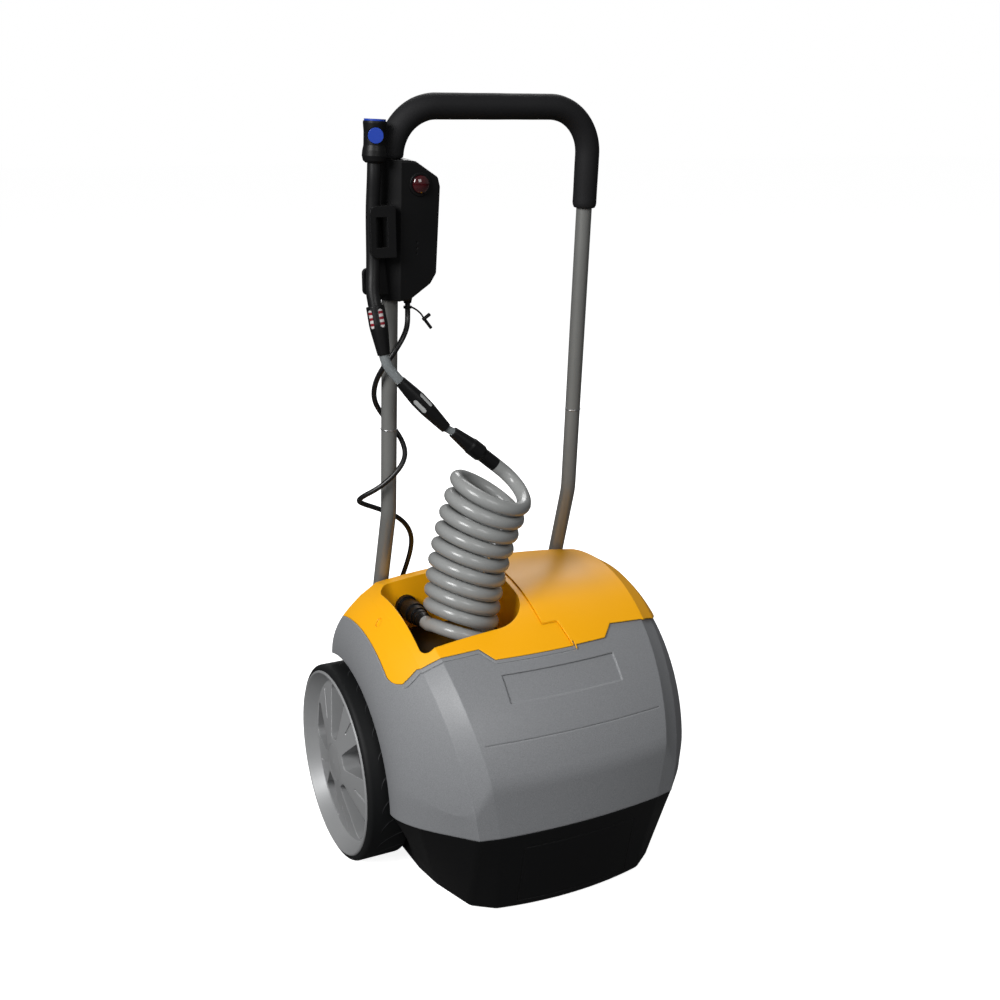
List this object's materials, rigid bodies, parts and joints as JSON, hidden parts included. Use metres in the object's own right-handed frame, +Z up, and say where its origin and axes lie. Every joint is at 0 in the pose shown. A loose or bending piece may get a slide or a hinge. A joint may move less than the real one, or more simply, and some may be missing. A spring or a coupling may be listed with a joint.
{
  "type": "pressure washer",
  "caption": "Wheeled low-pressure washer with a water tank, coiled hose in an open top well, hinged tank lid, push handle and a control box on the handle.",
  "frame": {"origin": "on the floor, at the middle of the machine's width and depth", "axes": "+Z up, the front faces -Y, +X to the right seen from the front"},
  "size_m": [0.462, 0.394, 0.9749],
  "materials": {
    "foam": "matte",
    "tube_paint": "satin",
    "grey_plastic": "fine texture",
    "yellow_plastic": "semi-gloss",
    "black_plastic": "satin",
    "tyre_rubber": "matte",
    "rim_silver": "satin",
    "blue_plastic": "satin",
    "coil_grey": "satin",
    "clear_tube": "translucent",
    "window_silver": "satin",
    "window_banded": "red and white bands",
    "dome_red": "translucent",
    "steel": "brushed",
    "nylon": "matte",
    "board_green": "matte",
    "tank_natural": "translucent"
  },
  "bodies": {
    "machine": {"base_tray": "black_plastic", "base_front_panel": "black_plastic", "foot_pads": "foam", "body_shell": "grey_plastic", "rear_cover": "black_plastic", "top_cover": "yellow_plastic", "well_tray": "black_plastic", "lid_hinge_pins": "steel", "case_screws": "steel", "axle": "steel", "axle_washers": "steel", "lower_tube_left": "tube_paint", "lower_tube_right": "tube_paint", "upper_handle": "tube_paint", "foam_grip": "foam", "handle_screws": "steel", "control_box_front": "black_plastic", "control_box_rear": "black_plastic", "button_bezel": "black_plastic", "control_board": "board_green", "box_screws": "steel", "hose_holder": "black_plastic", "cable_gland_box": "black_plastic", "coupling_body": "black_plastic", "release_spring": "steel", "coupling_collar": "blue_plastic", "wand_hose": "black_plastic", "upper_joiner": "black_plastic", "upper_joiner_windows": "window_banded", "clear_hose": "clear_tube", "lower_joiner": "black_plastic", "lower_joiner_windows": "window_silver", "clear_link": "clear_tube", "coil_connector": "black_plastic", "coil_hose": "coil_grey", "outlet_fitting": "black_plastic", "control_cable": "black_plastic", "port_plug": "black_plastic", "water_tank": "tank_natural", "strainer_basket": "nylon", "battery_pack": "black_plastic", "pump_bracket": "steel", "pump_motor": "steel", "pump_head": "black_plastic", "suction_hose": "clear_tube", "pressure_hose": "black_plastic", "cable_gland_body": "black_plastic"},
    "wheel_left": {"tyre_left": "tyre_rubber", "rim_left": "rim_silver", "hub_cap_left": "rim_silver", "wheel_bush_left": "nylon"},
    "wheel_right": {"tyre_right": "tyre_rubber", "rim_right": "rim_silver", "hub_cap_right": "rim_silver", "wheel_bush_right": "nylon"},
    "lid": {"tank_lid": "yellow_plastic"},
    "start_push": {"start_button": "dome_red"},
    "release_push": {"release_button": "blue_plastic"},
    "cap": {"filler_cap": "black_plastic"},
    "rotor": {"motor_shaft": "steel"}
  },
  "joints": [
    {"name": "wheel_left_spin", "type": "hinge", "parent": "machine", "child": "wheel_left", "pos_m": [-0.2, 0.067, 0.13], "axis": [1, 0, 0], "continuous": true},
    {"name": "wheel_right_spin", "type": "hinge", "parent": "machine", "child": "wheel_right", "pos_m": [0.2, 0.067, 0.13], "axis": [1, 0, 0], "continuous": true},
    {"name": "lid_hinge", "type": "hinge", "parent": "machine", "child": "lid", "pos_m": [0.0725, 0.114, 0.356], "axis": [-1, 0, 0], "range_deg": [0, 30]},
    {"name": "start_press", "type": "slide", "parent": "machine", "child": "start_push", "axis": [0, 0.9969, 0.0787], "range_m": [0, 0.003], "stiffness_N_per_m": 600, "springref_m": -0.003},
    {"name": "release_press", "type": "slide", "parent": "machine", "child": "release_push", "axis": [0.2756, 0.9613, 0], "range_m": [0, 0.0025], "stiffness_N_per_m": 800, "springref_m": -0.003},
    {"name": "cap_turn", "type": "hinge", "parent": "machine", "child": "cap", "pos_m": [0.07, -0.053, 0.285], "axis": [0, 0, 1], "range_deg": [0, 90]},
    {"name": "rotor_spin", "type": "hinge", "parent": "machine", "child": "rotor", "pos_m": [-0.06, 0.067, 0.181], "axis": [1, 0, 0], "continuous": true}
  ]
}
